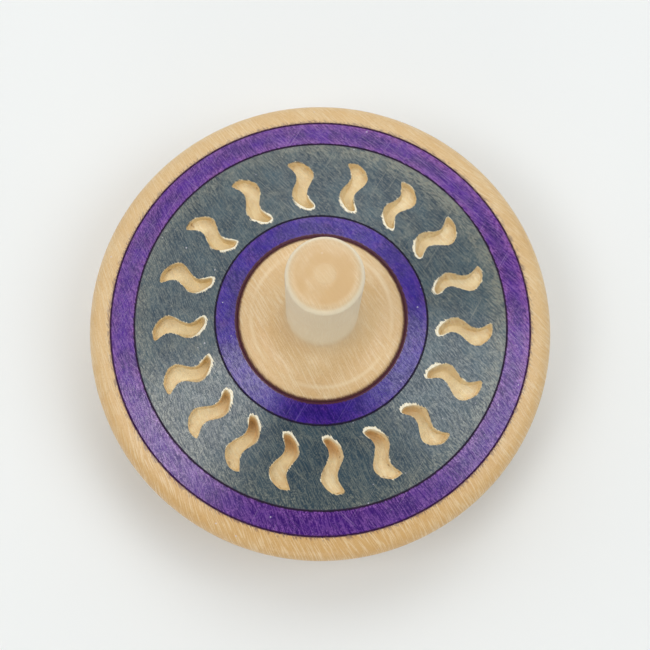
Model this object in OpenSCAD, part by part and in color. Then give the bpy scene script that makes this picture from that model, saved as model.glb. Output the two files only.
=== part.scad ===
// Hand-turned finger spinning top.
// A dyed and carved disc is held on a turned spindle, and the spindle's nose carries a pressed-in point.
// +Z is the spin axis and points up the finger stem. The origin is the lowest point of the tip.
// All sizes are in millimetres and all angles in degrees.

/* [Disc] */
// Diameter over the rim
disc_d = 65; // [50:1:90]
// Thickness of the rim
rim_t = 5; // [4.8:0.1:9]
// Radius of the rim's rounded corners
rim_round = 2.3; // [1:0.1:2.4]
// Slope of the upper face, rising towards the hub
face_slope = 16.5; // [8:0.5:24]
// Slope of the underside, falling towards the nose
under_slope = 16.5; // [8:0.5:24]
// Diameter of the flat ring round the nose on the underside
under_flat_d = 14; // [12:0.5:20]

/* [Dyed bands] */
// Width of the bare rim band, measured across the axis
rim_band_w = 3.2; // [2.6:0.1:5]
// Width of the outer purple band
outer_band_w = 3.4; // [1.5:0.1:5]
// Width of the inner purple band, next to the hub
inner_band_w = 3.15; // [1.5:0.05:5]
// Width of the scored line at the edge of each band
score_w = 0.3; // [0.15:0.05:0.6]
// Depth of the scored line
score_h = 0.2; // [0.1:0.05:0.5]

/* [Carved pockets] */
// Number of carved pockets
pocket_n = 18; // [6:1:20]
// How far the row of pockets sits inwards from the middle of the slate band
pocket_inset = 0.45; // [0:0.05:0.8]
// Length of a pocket along the radius
pocket_len = 7.5; // [5:0.1:8.5]
// Width of a pocket at its inner end
pocket_w_in = 1.75; // [1.2:0.05:2.2]
// Width of a pocket at its outer end
pocket_w_out = 2.7; // [1.5:0.05:3.2]
// How far the pocket's middle line swings to each side
pocket_sway = 0.6; // [0:0.05:1]
// Length of one full swing of the middle line
pocket_wave = 5.9; // [4.5:0.1:9]
// Depth of a pocket under its middle
pocket_h = 1.9; // [1.2:0.1:3]
// Slope of a pocket's floor, which is flatter than the face and so deepest towards the hub
pocket_slope = 6; // [0:0.5:16]
// Turn of the whole row of pockets from +X
pocket_start = 2.4; // [0:0.1:20]
// Once-round drift of the hand-spaced pockets from an even pitch
drift_once = 3.3; // [0:0.1:3.5]
// Twice-round drift of the hand-spaced pockets from an even pitch
drift_twice = 1.7; // [0:0.1:1.8]

/* [Hub] */
// Diameter of the hub
hub_d = 22.8; // [18:0.2:26]
// Depth of the seat that the hub sits in, below the edge of the upper face
hub_seat_h = 3.5; // [2:0.1:5]
// Rise of the hub's crest above the edge of the upper face
hub_rise = 0.6; // [0.3:0.1:1.5]
// Width of the hub's rounded shoulder
hub_shoulder_w = 1.6; // [1:0.1:2]
// Width and depth of the chamfer on each side of the groove round the hub
hub_groove = 0.3; // [0.1:0.05:0.5]

/* [Finger stem] */
// Diameter of the finger stem
stem_d = 9.6; // [7:0.1:12]
// Height of the finger stem above the edge of the upper face
stem_h = 28.7; // [20:0.1:36]
// Radius of the stem's rounded end
stem_round = 1.4; // [0.5:0.1:2.5]
// Height of the domed end face above its rim
stem_dome_h = 0.25; // [0.1:0.05:0.5]

/* [Tenon and nose] */
// Diameter of the tenon through the disc
tenon_d = 9; // [7:0.1:11]
// Height of the nose below the disc
nose_h = 2.6; // [1.5:0.1:5]
// Diameter of the nose where it meets the tip
nose_end_d = 4.4; // [4.2:0.1:6]

/* [Tip] */
// Diameter of the tip's domed head
tip_d = 4; // [3:0.1:4.2]
// Height of the tip's domed head
tip_h = 1.6; // [1:0.1:2]
// Diameter of the tip's shank
shank_d = 1.8; // [1.2:0.1:2.5]
// Length of the tip's shank
shank_l = 9; // [5:0.5:14]

/* [Fits] */
// Radial glue gap round the tenon and round the hub
glue_gap = 0.05; // [0.02:0.01:0.15]
// Radial gap round the pressed-in shank
shank_gap = 0.02; // [0.01:0.01:0.1]
// Space left past the end of the shank in its hole
shank_spare = 0.5; // [0.2:0.1:1]

/* [Hidden] */
$fn = 96;
ARC_STEPS = 10;
POCKET_STEPS = 18;
ROUND_POWER = 5;
SHARP_POWER = 20;
MAPLE = [0.85, 0.73, 0.55];
STEM_MAPLE = [0.86, 0.75, 0.58];
TIP_STEEL = [0.72, 0.72, 0.74];
TRIM = 1;

disc_r = disc_d / 2;
hub_r = hub_d / 2;
stem_r = stem_d / 2;
tenon_r = tenon_d / 2;

// Heights, built up from the tip
nose_z = tip_h;
under_z = nose_z + nose_h;
round_r = disc_r - rim_round;
low_edge_r = round_r + rim_round * sin(under_slope);
low_edge_z = under_z + (low_edge_r - under_flat_d / 2) * tan(under_slope);
low_round_z = low_edge_z + rim_round * cos(under_slope);
top_edge_r = round_r + rim_round * sin(face_slope);
top_edge_z = low_edge_z + rim_t;
top_round_z = top_edge_z - rim_round * cos(face_slope);
hub_edge_z = face_z(hub_r);
hub_crest_r = hub_r - hub_shoulder_w;
hub_crest_z = hub_edge_z + hub_rise;
seat_z = hub_edge_z - hub_seat_h;
stem_end_z = hub_edge_z + stem_h;
stem_rim_z = stem_end_z - stem_dome_h;

// Radii of the three scored lines and of the circle through the pockets' middles
rim_line_r = disc_r - rim_band_w;
slate_line_r = rim_line_r - outer_band_w;
inner_line_r = hub_r + inner_band_w;
pocket_ring_r = (slate_line_r + inner_line_r) / 2 - pocket_inset;

// Height of the upper face at radius r
function face_z(r) = top_edge_z + (top_edge_r - r) * tan(face_slope);

// Points of an arc round [x, y] with x and y radii, from angle a0 to a1
function arc(x, y, rx, ry, a0, a1) =
    [for (i = [0:ARC_STEPS])
        let (a = a0 + (a1 - a0) * i / ARC_STEPS)
        [x + rx * cos(a), y + ry * sin(a)]];

// Middle line and half width of a pocket, at distance t outwards from its middle
function pocket_mid(t) = -pocket_sway * sin(360 * t / pocket_wave);
function pocket_half_w(t) =
    (pocket_w_in + (pocket_w_out - pocket_w_in) * (t / pocket_len + 0.5)) / 2;

// Share of the half width that is left at t, as the edge turns in to the end that it nears.
// A large power keeps a corner sharp, and a small one rounds it.
function turn_in(t, inner_power, outer_power) =
    sqrt(1 - pow(abs(2 * t / pocket_len), t < 0 ? inner_power : outer_power));

// The two edges of a pocket: the outer end is sharp on the first, the inner end on the second
function pocket_lead(t) =
    pocket_mid(t) + pocket_half_w(t) * turn_in(t, ROUND_POWER, SHARP_POWER);
function pocket_trail(t) =
    pocket_mid(t) - pocket_half_w(t) * turn_in(t, SHARP_POWER, ROUND_POWER);

// Angle of pocket i, with the drift of a row that was spaced by eye
function pocket_angle(i) =
    let (a = 360 * i / pocket_n)
    pocket_start + a + drift_once * cos(a - 160) + drift_twice * cos(2 * a - 7);

// Turned outline of the disc, before its hole and seat are cut
module disc_outline() {
    polygon(concat(
        [[0, under_z], [under_flat_d / 2, under_z]],
        arc(round_r, low_round_z, rim_round, rim_round, under_slope - 90, 0),
        arc(round_r, top_round_z, rim_round, rim_round, 0, 90 - face_slope),
        [[hub_r, hub_edge_z], [0, hub_edge_z]]));
}

// Ring with a V section that cuts a line of width w and depth h at radius r
module scored_line(r, w, h) {
    rotate_extrude()
        translate([r, face_z(r)])
            rotate(-face_slope)
                polygon([[0, -h], [w / 2 + w / 8, h / 4], [-w / 2 - w / 8, h / 4]]);
}

// Cutter for one pocket, with its middle at the middle of its outline on the upper face
module pocket() {
    ends = [for (i = [0:POCKET_STEPS]) -cos(180 * i / POCKET_STEPS) * pocket_len / 2];
    lead = [for (t = ends) [t, pocket_lead(t)]];
    trail = [for (i = [1:POCKET_STEPS - 1])
        let (t = ends[POCKET_STEPS - i])
        [t, pocket_trail(t)]];
    translate([pocket_ring_r, 0, face_z(pocket_ring_r)])
        rotate([0, pocket_slope, 0])
            translate([0, 0, -pocket_h])
                linear_extrude(pocket_h + pocket_len / 2)
                    polygon(concat(lead, trail));
}

// Seat for the hub, with the outer half of the groove round it
module hub_seat() {
    seat_r = hub_r + glue_gap;
    translate([0, 0, seat_z])
        cylinder(r = seat_r, h = hub_seat_h + TRIM);
    translate([0, 0, hub_edge_z - hub_groove])
        cylinder(r1 = seat_r, r2 = seat_r + 2 * hub_groove, h = 2 * hub_groove);
}

module disc() {
    color(MAPLE)
        difference() {
            rotate_extrude() disc_outline();
            translate([0, 0, under_z - TRIM])
                cylinder(r = tenon_r + glue_gap, h = seat_z - under_z + 2 * TRIM);
            hub_seat();
            for (r = [rim_line_r, slate_line_r, inner_line_r])
                scored_line(r, score_w, score_h);
            for (i = [0:pocket_n - 1])
                rotate([0, 0, pocket_angle(i)]) pocket();
        }
}

// Turned outline of the spindle: nose, tenon, hub, cove and finger stem
module spindle_outline() {
    cove_r = hub_crest_r - stem_r;
    polygon(concat(
        [[0, nose_z], [nose_end_d / 2, nose_z], [tenon_r, under_z]],
        [[tenon_r, seat_z], [hub_r, seat_z]],
        [[hub_r, hub_edge_z - hub_groove]],
        arc(hub_crest_r, hub_edge_z, hub_shoulder_w - hub_groove, hub_rise, 0, 90),
        arc(hub_crest_r, hub_crest_z + cove_r, cove_r, cove_r, 270, 180),
        arc(stem_r - stem_round, stem_rim_z - stem_round, stem_round, stem_round, 0, 90),
        [[0, stem_end_z]]));
}

module spindle() {
    color(STEM_MAPLE)
        difference() {
            rotate_extrude() spindle_outline();
            translate([0, 0, nose_z - TRIM])
                cylinder(d = shank_d + 2 * shank_gap, h = TRIM + shank_l + shank_spare);
        }
}

module tip() {
    color(TIP_STEEL)
        rotate_extrude()
            polygon(concat(
                arc(0, tip_h, tip_d / 2, tip_h, -90, 0),
                [[shank_d / 2, tip_h], [shank_d / 2, tip_h + shank_l], [0, tip_h + shank_l]]));
}

disc();
spindle();
tip();
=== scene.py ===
"""Looks of a hand-turned finger top: a dyed and carved disc on a turned spindle with a hard point.

Meshes are modelled in millimetres and scaled to metres when they are finished.
Z is the spin axis and points up the finger stem, and the origin is the lowest point of the tip.
"""

import logging
import math
import random
from dataclasses import dataclass, field
from enum import Enum
from functools import reduce
from typing import Sequence

import bmesh
import bpy
from mathutils import Matrix, Vector


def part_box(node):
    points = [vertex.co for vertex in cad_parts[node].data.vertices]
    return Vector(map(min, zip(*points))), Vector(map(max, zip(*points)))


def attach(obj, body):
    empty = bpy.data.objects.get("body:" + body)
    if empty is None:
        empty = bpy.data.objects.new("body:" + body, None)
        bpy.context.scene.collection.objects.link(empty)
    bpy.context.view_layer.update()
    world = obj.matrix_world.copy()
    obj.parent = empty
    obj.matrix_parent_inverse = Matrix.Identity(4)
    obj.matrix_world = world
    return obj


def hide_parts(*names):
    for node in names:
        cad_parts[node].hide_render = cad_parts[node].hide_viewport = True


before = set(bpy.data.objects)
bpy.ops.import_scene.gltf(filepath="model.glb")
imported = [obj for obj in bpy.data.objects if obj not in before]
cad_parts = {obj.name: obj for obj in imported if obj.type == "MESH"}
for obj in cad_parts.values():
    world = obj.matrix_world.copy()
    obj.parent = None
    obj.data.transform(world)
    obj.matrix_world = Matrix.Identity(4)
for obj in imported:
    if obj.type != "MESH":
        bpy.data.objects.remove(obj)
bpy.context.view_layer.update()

LOG = logging.getLogger("finger_top")
MM = 0.001
BODY = "root"
FAR_FROM_POCKETS = 3.0
DEEP_IN_POCKET = -2.0
LIP_LAYER = "lip_mm"

Mesh = bpy.types.Mesh
Node = bpy.types.Node
NodeTree = bpy.types.NodeTree
Socket = bpy.types.NodeSocket
Point2 = tuple[float, float]
Point3 = tuple[float, float, float]
Colour = tuple[float, float, float, float]
Input = Socket | float | Sequence[float]


def srgb(red: int, green: int, blue: int) -> Colour:
    """Turn an 8-bit screen colour into the linear colour that a shader takes.

    Args:
        red: Red, from 0 to 255.
        green: Green, from 0 to 255.
        blue: Blue, from 0 to 255.

    Returns:
        Linear red, green and blue, with an alpha of 1.
    """
    def linear(value: int) -> float:
        """Return one channel in linear light."""
        share = value / 255
        return share / 12.92 if share <= 0.04045 else ((share + 0.055) / 1.055) ** 2.4

    return (linear(red), linear(green), linear(blue), 1.0)


def mix(a: float, b: float, share: float) -> float:
    """Return the value that lies share of the way from a to b."""
    return a + (b - a) * share


def smooth_step(low: float, high: float, value: float) -> float:
    """Return 0 at low and past it, 1 at high and past it, and a smooth change between them."""
    share = min(max((value - low) / (high - low), 0.0), 1.0)
    return share * share * (3 - 2 * share)


def arc(centre: Point2, radii: Point2, start: float, end: float, steps: int) -> list[Point2]:
    """Points along part of an ellipse.

    Args:
        centre: Centre of the ellipse.
        radii: Its radius along each axis.
        start: First angle, in degrees.
        end: Last angle, in degrees.
        steps: Number of chords.

    Returns:
        The points, both ends included.
    """
    points = []
    for i in range(steps + 1):
        angle = math.radians(mix(start, end, i / steps))
        points.append((centre[0] + radii[0] * math.cos(angle),
                       centre[1] + radii[1] * math.sin(angle)))
    return points


def line(start: Point2, end: Point2, steps: int) -> list[Point2]:
    """Points along a straight stretch of a turned outline, both ends included."""
    return [(mix(start[0], end[0], i / steps), mix(start[1], end[1], i / steps))
            for i in range(steps + 1)]


@dataclass(frozen=True)
class Sizes:
    """Sizes of the top in millimetres. Those without a default are read off the frame.

    Attributes:
        disc_r: Radius of the disc.
        under_z: Height of the flat under the disc.
        hub_r: Radius of the hub.
        nose_z: Height of the nose's end, where the tip's cap seats.
        stem_top_z: Height of the top of the stem.
        tip_r: Radius of the tip's cap.
        shank_top_z: Height of the end of the tip's shank.
        face_slope: Slope of the upper face, in degrees.
        under_slope: Slope of the underside, in degrees.
        rim_t: Thickness of the rim between its two rounded edges.
        rim_round: Radius of those edges.
        under_flat_r: Radius of the flat under the disc.
        rim_band_w: Width of the bare band at the rim.
        outer_band_w: Width of the outer dyed band.
        inner_band_w: Width of the inner dyed band.
        score_w: Width of a scored line.
        score_h: Depth of a scored line.
        seat_h: Depth of the hub's seat.
        hub_rise: Height of the hub's crest over the face.
        shoulder_w: Width of the hub's rounded shoulder.
        groove: Chamfer on each side of the joint round the hub.
        stem_r: Radius of the stem.
        stem_round: Radius of the rounding at the stem's end.
        stem_dome_h: Height of the dome on the stem's end.
        mark_r: Radius of the mark that parting off left on the stem's end.
        tenon_r: Radius of the tenon.
        nose_end_r: Radius of the nose's end.
        shank_r: Radius of the tip's shank.
        glue_gap: Clearance round the hub and the tenon.
        shank_gap: Clearance round the shank.
        shank_spare: Depth of the hole past the shank's end.
    """

    disc_r: float
    under_z: float
    hub_r: float
    nose_z: float
    stem_top_z: float
    tip_r: float
    shank_top_z: float
    face_slope: float = 16.5
    under_slope: float = 16.5
    rim_t: float = 5.0
    rim_round: float = 2.3
    under_flat_r: float = 7.0
    rim_band_w: float = 3.2
    outer_band_w: float = 3.4
    inner_band_w: float = 3.15
    score_w: float = 0.3
    score_h: float = 0.2
    seat_h: float = 3.5
    hub_rise: float = 0.6
    shoulder_w: float = 1.6
    groove: float = 0.3
    stem_r: float = 4.8
    stem_round: float = 1.4
    stem_dome_h: float = 0.25
    mark_r: float = 1.3
    tenon_r: float = 4.5
    nose_end_r: float = 2.2
    shank_r: float = 0.9
    glue_gap: float = 0.05
    shank_gap: float = 0.02
    shank_spare: float = 0.5

    @classmethod
    def from_frame(cls) -> "Sizes":
        """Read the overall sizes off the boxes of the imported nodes."""
        disc_low, disc_high = (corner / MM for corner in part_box("disc"))
        spindle_low, spindle_high = (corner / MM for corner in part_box("spindle"))
        tip_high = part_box("tip")[1] / MM
        return cls(
            disc_r=disc_high.x,
            under_z=disc_low.z,
            hub_r=spindle_high.x,
            nose_z=spindle_low.z,
            stem_top_z=spindle_high.z,
            tip_r=tip_high.x,
            shank_top_z=tip_high.z,
        )

    @property
    def rim_line_r(self) -> float:
        """Radius of the scored line between the bare rim and the outer band."""
        return self.disc_r - self.rim_band_w

    @property
    def slate_line_r(self) -> float:
        """Radius of the scored line between the outer band and the slate band."""
        return self.rim_line_r - self.outer_band_w

    @property
    def inner_line_r(self) -> float:
        """Radius of the scored line between the slate band and the inner band."""
        return self.hub_r + self.inner_band_w

    @property
    def low_edge(self) -> Point2:
        """Where the underside's cone meets the rounding of the rim."""
        r = self.disc_r - self.rim_round * (1 - math.sin(math.radians(self.under_slope)))
        rise = (r - self.under_flat_r) * math.tan(math.radians(self.under_slope))
        return r, self.under_z + rise

    @property
    def top_edge(self) -> Point2:
        """Where the upper face meets the rounding of the rim."""
        r = self.disc_r - self.rim_round * (1 - math.sin(math.radians(self.face_slope)))
        return r, self.low_edge[1] + self.rim_t

    def face_z(self, r: float) -> float:
        """Height of the upper face at radius r."""
        return self.top_edge[1] + (self.top_edge[0] - r) * math.tan(math.radians(self.face_slope))

    @property
    def hub_edge_z(self) -> float:
        """Height of the upper face where it meets the hub."""
        return self.face_z(self.hub_r)

    @property
    def seat_z(self) -> float:
        """Height of the floor of the hub's seat."""
        return self.hub_edge_z - self.seat_h

    @property
    def crest_r(self) -> float:
        """Radius of the hub's crest, where the shoulder meets the cove."""
        return self.hub_r - self.shoulder_w

    @property
    def crest_z(self) -> float:
        """Height of the hub's crest."""
        return self.hub_edge_z + self.hub_rise

    @property
    def cove_r(self) -> float:
        """Radius of the cove between the hub and the stem."""
        return self.crest_r - self.stem_r

    @property
    def cove_top_z(self) -> float:
        """Height of the cove's top, where the straight stem begins."""
        return self.crest_z + self.cove_r

    @property
    def straight_z(self) -> float:
        """Height of the straight stem's top, where the rounding of its end begins."""
        return self.stem_top_z - self.stem_dome_h - self.stem_round

    @property
    def end_r(self) -> float:
        """Radius of the stem's end inside its rounding."""
        return self.stem_r - self.stem_round


@dataclass(frozen=True)
class PocketRow:
    """The row of S-shaped pockets, carved and spaced by eye. Lengths are in millimetres.

    Attributes:
        count: Number of pockets.
        length: Length along the radius.
        inner_w: Width at the inner end.
        outer_w: Width at the outer end.
        sway: Swing of the middle line to each side.
        wave: Length of one full swing.
        depth: Depth under the middle.
        floor_slope: Slope of the floor, in degrees.
        inset: How far the row sits inwards from the middle of the slate band.
        start: Turn of the whole row, in degrees.
        drift_once: Once-round drift from an even pitch, in degrees.
        drift_once_at: Angle at which that drift is greatest.
        drift_twice: Twice-round drift from an even pitch, in degrees.
        drift_twice_at: Twice the angle at which that drift is greatest.
        round_power: Power of the outline's rounder corners.
        sharp_power: Power of the outline's sharper corners.
        wander: How far the row's centre sits off the axis.
        wander_at: Direction in which it does, in degrees.
    """

    count: int = 18
    length: float = 7.5
    inner_w: float = 1.75
    outer_w: float = 2.7
    sway: float = 0.6
    wave: float = 5.9
    depth: float = 1.9
    floor_slope: float = 6.0
    inset: float = 0.45
    start: float = 2.4
    drift_once: float = 3.3
    drift_once_at: float = 160.0
    drift_twice: float = 1.7
    drift_twice_at: float = 7.0
    round_power: float = 5.0
    sharp_power: float = 20.0
    wander: float = 0.26
    wander_at: float = -44.0

    def drifted(self, angle: float) -> float:
        """Angle on the disc of a place at that angle on an evenly spaced row, in degrees."""
        once = self.drift_once * math.cos(math.radians(angle - self.drift_once_at))
        twice = self.drift_twice * math.cos(math.radians(2 * angle - self.drift_twice_at))
        return self.start + angle + once + twice

    def middle(self, t: float) -> float:
        """Sideways place of the middle line at distance t outwards from a pocket's middle."""
        return -self.sway * math.sin(2 * math.pi * t / self.wave)

    def outline(self, steps: int) -> list[Point2]:
        """Outline of one pocket, anticlockwise from its inner end.

        Args:
            steps: Number of points in the whole outline.

        Returns:
            Points as (distance outwards, distance to the anticlockwise side).
        """
        points = []
        for i in range(steps):
            t = -math.cos(2 * math.pi * i / steps) * self.length / 2
            clockwise_side = i <= steps // 2
            power = self.sharp_power if clockwise_side == (t < 0) else self.round_power
            width = mix(self.inner_w, self.outer_w, t / self.length + 0.5) / 2
            width *= math.sqrt(max(0.0, 1 - abs(2 * t / self.length) ** power))
            points.append((t, self.middle(t) + (-width if clockwise_side else width)))
        return points


def turned(name: str, outline: Sequence[Point2], steps: int) -> Mesh:
    """Spin an outline of (radius, height) points a full turn round Z.

    Args:
        name: Name of the new mesh.
        outline: The outline. Its ends at radius 0 become poles.
        steps: Number of steps round the turn.

    Returns:
        The turned mesh.
    """
    bm = bmesh.new()
    verts = [bm.verts.new((r, 0.0, z)) for r, z in outline]
    edges = [bm.edges.new(pair) for pair in zip(verts, verts[1:])]
    bmesh.ops.spin(bm, geom=verts + edges, cent=(0, 0, 0), axis=(0, 0, 1), dvec=(0, 0, 0),
                   angle=2 * math.pi, steps=steps, use_merge=True)
    mesh = bpy.data.meshes.new(name)
    bm.to_mesh(mesh)
    bm.free()
    return mesh


class MeshMaker:
    """A bmesh in millimetres that takes turned meshes and is finished as one piece."""

    def __init__(self) -> None:
        """Start with an empty mesh."""
        self.bm = bmesh.new()

    def add(self, mesh: Mesh) -> list[bmesh.types.BMVert]:
        """Add a copy of a mesh and return the copy's vertices."""
        already = len(self.bm.verts)
        self.bm.from_mesh(mesh)
        self.bm.verts.ensure_lookup_table()
        return self.bm.verts[already:]

    def finish(self, name: str, node: str, slot: str, material: bpy.types.Material,
               sharp_angle: float = 38.0) -> bpy.types.Object:
        """Close the mesh, scale it to metres and hand it over as a piece of the top.

        Args:
            name: Name of the piece.
            node: CAD node that it stands for.
            slot: Material slot name; not used.
            material: Its material.
            sharp_angle: Edges that turn by more than this many degrees stay sharp.

        Returns:
            The new object.
        """
        bmesh.ops.remove_doubles(self.bm, verts=self.bm.verts[:], dist=0.002)
        bmesh.ops.recalc_face_normals(self.bm, faces=self.bm.faces[:])
        bmesh.ops.scale(self.bm, vec=(MM, MM, MM), verts=self.bm.verts[:])
        for face in self.bm.faces:
            face.smooth = True
        open_edges = sum(not edge.is_manifold for edge in self.bm.edges)
        mesh = bpy.data.meshes.new(name)
        self.bm.to_mesh(mesh)
        self.bm.free()
        mesh.set_sharp_from_angle(angle=math.radians(sharp_angle))
        mesh.materials.append(material)
        piece = bpy.data.objects.new(name, mesh)
        bpy.context.scene.collection.objects.link(piece)
        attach(piece, BODY)
        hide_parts(node)
        LOG.info("%s: %d faces, %d open edges", name, len(mesh.polygons), open_edges)
        return piece


@dataclass(frozen=True)
class Hand:
    """How far a carver's hand slips from pocket to pocket, as standard deviations.

    Attributes:
        outline: Slip of a point of the outline, as a share of its width.
        turn: Turn about the middle, in degrees.
        length: Stretch of the length.
        width: Stretch of the width.
        depth: Depth under the middle, in millimetres.
        lean: Lean of the floor to the clockwise side, in millimetres.
        floor_slope: Slope of the floor, in degrees.
        usual_lean: Lean that the hand has on average, in millimetres.
    """

    outline: float = 0.015
    turn: float = 1.6
    length: float = 0.015
    width: float = 0.035
    depth: float = 0.16
    lean: float = 0.06
    floor_slope: float = 1.2
    usual_lean: float = 0.36


@dataclass(frozen=True)
class Slip:
    """One pocket's small differences from the others, as a hand makes them.

    Attributes:
        turn: Turn about its middle, in degrees.
        stretch: Stretch of its length and of its width.
        depth: Depth under the middle, in millimetres.
        lean: How far the inner half of the floor is cut to the clockwise side.
        floor_slope: Slope of the floor, in degrees.
        ripple_at: Where the gouge's ripples start, in radians.
        wobble: Slip of each point of the outline, as a share of its width.
    """

    turn: float
    stretch: Point2
    depth: float
    lean: float
    floor_slope: float
    ripple_at: float
    wobble: tuple[float, ...]

    @classmethod
    def draw(cls, row: PocketRow, hand: Hand, steps: int, rng: random.Random) -> "Slip":
        """Draw one pocket's slips.

        Args:
            row: The row that the pocket is in.
            hand: The hand that carves it.
            steps: Number of points in the pocket's outline.
            rng: Source of the slips.

        Returns:
            The slips.
        """
        raw = [rng.gauss(0, hand.outline) for _ in range(steps)]
        wobble = tuple((raw[i - 1] + 2 * raw[i] + raw[(i + 1) % steps]) / 4 for i in range(steps))
        return cls(
            turn=rng.gauss(0, hand.turn),
            stretch=(rng.gauss(1, hand.length), rng.gauss(1, hand.width)),
            depth=row.depth + rng.gauss(0, hand.depth),
            lean=rng.gauss(hand.usual_lean, hand.lean),
            floor_slope=row.floor_slope + rng.gauss(0, hand.floor_slope),
            ripple_at=rng.uniform(0, 2 * math.pi),
            wobble=wobble,
        )


@dataclass(frozen=True)
class Pocket:
    """One carved pocket with the cell of the slate band that it is cut in.

    Attributes:
        sizes: Sizes of the top.
        row: The row that the pocket is in.
        index: Number of the pocket.
        around: Steps round the disc that the cell spans.
        side: Steps along each side of the cell.
        slip: The pocket's small differences.
        inner_half: Between which distances the outer half gives way to the inner half.
        foot_length: Length of the floor as a share of the outline's, in the outer and inner half.
        foot_width: Width of the floor as a share of the outline's, in the same halves.
        foot_lean: Share of the lean that the floor takes, in the same halves.
        ripple_h: Height of the gouge's ripples on the floor.
        floor_rings: Size of each ring of the floor, as shares of its outline.
        wall_rings: Share of the way in and of the way down of each ring of the wall.
        collar_rings: Share of the way to the cell's edge of each ring on the face.
    """

    sizes: Sizes
    row: PocketRow
    index: int
    around: int
    side: int
    slip: Slip
    inner_half: Point2 = (1.4, -1.6)
    foot_length: Point2 = (0.925, 0.83)
    foot_width: Point2 = (0.84, 0.6)
    foot_lean: Point2 = (0.25, 1.0)
    ripple_h: float = 0.03
    floor_rings: tuple[float, ...] = (0.0, 0.3, 0.55, 0.8)
    wall_rings: tuple[Point2, ...] = ((1.0, 1.0), (0.92, 0.97), (0.8, 0.88), (0.55, 0.66),
                                      (0.3, 0.42), (0.1, 0.2), (0.04, 0.09), (0.0, 0.0))
    collar_rings: tuple[float, ...] = (0.08, 0.22, 0.42, 0.68, 1.0)

    @property
    def steps(self) -> int:
        """Number of points round the cell, which is also that of the outline."""
        return 2 * (self.around + self.side)

    @property
    def angle(self) -> float:
        """Angle of the pocket's middle on the disc, in radians."""
        return math.radians(self.row.drifted(360 * self.index / self.row.count))

    @property
    def ring_r(self) -> float:
        """Radius of the pocket's middle."""
        band_middle = (self.sizes.slate_line_r + self.sizes.inner_line_r) / 2
        off = self.angle - math.radians(self.row.wander_at)
        return band_middle - self.row.inset + self.row.wander * math.cos(off)

    def edge(self) -> list[Vector]:
        """Edge of the cell on the upper face, from its inner middle past the clockwise side."""
        half = self.sizes.score_w / 2
        inner_r, outer_r = self.sizes.inner_line_r + half, self.sizes.slate_line_r - half
        corner = self.around // 2
        climb = [mix(inner_r, outer_r, i / self.side) for i in range(self.side)]
        fall = [mix(outer_r, inner_r, i / self.side) for i in range(self.side)]
        places = [(inner_r, -i) for i in range(corner)]
        places += [(r, -corner) for r in climb]
        places += [(outer_r, i - corner) for i in range(self.around)]
        places += [(r, corner) for r in fall]
        places += [(inner_r, corner - i) for i in range(corner)]
        points = []
        for r, step in places:
            even = 360 / self.row.count * (self.index + step / self.around)
            angle = math.radians(self.row.drifted(even))
            points.append(Vector((r * math.cos(angle), r * math.sin(angle), self.sizes.face_z(r))))
        return points

    def above(self, t: float, y: float) -> Vector:
        """Place at distance t outwards and y anticlockwise of the middle, with no height."""
        turn = Matrix.Rotation(math.radians(self.slip.turn), 2)
        local = turn @ Vector((t * self.slip.stretch[0], y * self.slip.stretch[1]))
        outwards = Vector((math.cos(self.angle), math.sin(self.angle), 0))
        sideways = Vector((-math.sin(self.angle), math.cos(self.angle), 0))
        return outwards * (self.ring_r + local.x) + sideways * local.y

    def on_face(self, place: Vector) -> Vector:
        """Return a place raised to the upper face."""
        return Vector((place.x, place.y, self.sizes.face_z(math.hypot(place.x, place.y))))

    def on_floor(self, t: float, y: float, shrink: float) -> Vector:
        """Place on the floor that belongs to a point of the outline.

        Args:
            t: The point's distance outwards.
            y: The point's distance to the anticlockwise side.
            shrink: Size of the floor's ring, as a share of its outline.

        Returns:
            The place, with its height.
        """
        inner = smooth_step(*self.inner_half, t)
        foot_t = t * mix(*self.foot_length, inner) * shrink
        half_w = (y - self.row.middle(t)) * mix(*self.foot_width, inner) * shrink
        foot_y = self.row.middle(foot_t) + half_w - self.slip.lean * mix(*self.foot_lean, inner)
        along, across = 2.6 * foot_t + self.slip.ripple_at, 1.7 * foot_y
        ripple = self.ripple_h * math.sin(along) * math.cos(across)
        fall = foot_t * math.tan(math.radians(self.slip.floor_slope))
        place = self.above(foot_t, foot_y)
        place.z = self.sizes.face_z(self.ring_r) - self.slip.depth - fall + ripple
        return place

    def rings(self) -> list[list[tuple[Vector, float]]]:
        """Rings from the middle of the floor out to the cell's edge.

        Returns:
            For each ring, the place of each of its points and how far that lies outwards from the
            pocket's edge, which is below 0 inside the pocket.
        """
        outline = self.row.outline(self.steps)
        slipped = [(t * (1 + 0.1 * s), y * (1 + s)) for (t, y), s in zip(outline, self.slip.wobble)]
        lip = [self.on_face(self.above(t, y)) for t, y in slipped]
        foot = [self.on_floor(t, y, 1.0) for t, y in outline]
        rings = []
        for shrink in self.floor_rings:
            rings.append([(self.on_floor(t, y, shrink), DEEP_IN_POCKET) for t, y in outline])
        for inwards, down in self.wall_rings:
            ring = []
            for high, low, wobble in zip(lip, foot, self.slip.wobble):
                place = high.lerp(low, inwards)
                place.z = mix(high.z, low.z, down) + 0.1 * wobble * math.sin(9 * down)
                ring.append((place, min(-down * (high.z - low.z), 0.0)))
            rings.append(ring)
        edge = self.edge()
        for share in self.collar_rings:
            ring = []
            for high, outer in zip(lip, edge):
                distance = (outer - high).length * share
                ring.append((self.on_face(high.lerp(outer, share)), distance))
            rings.append(ring)
        return rings

    def web(self) -> Mesh:
        """Flat web with a ring for each ring of the cell, one unit apart."""
        rings = len(self.floor_rings) + len(self.wall_rings) + len(self.collar_rings)
        return turned("web", [(ring, 0.0) for ring in range(rings)], self.steps)

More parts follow.
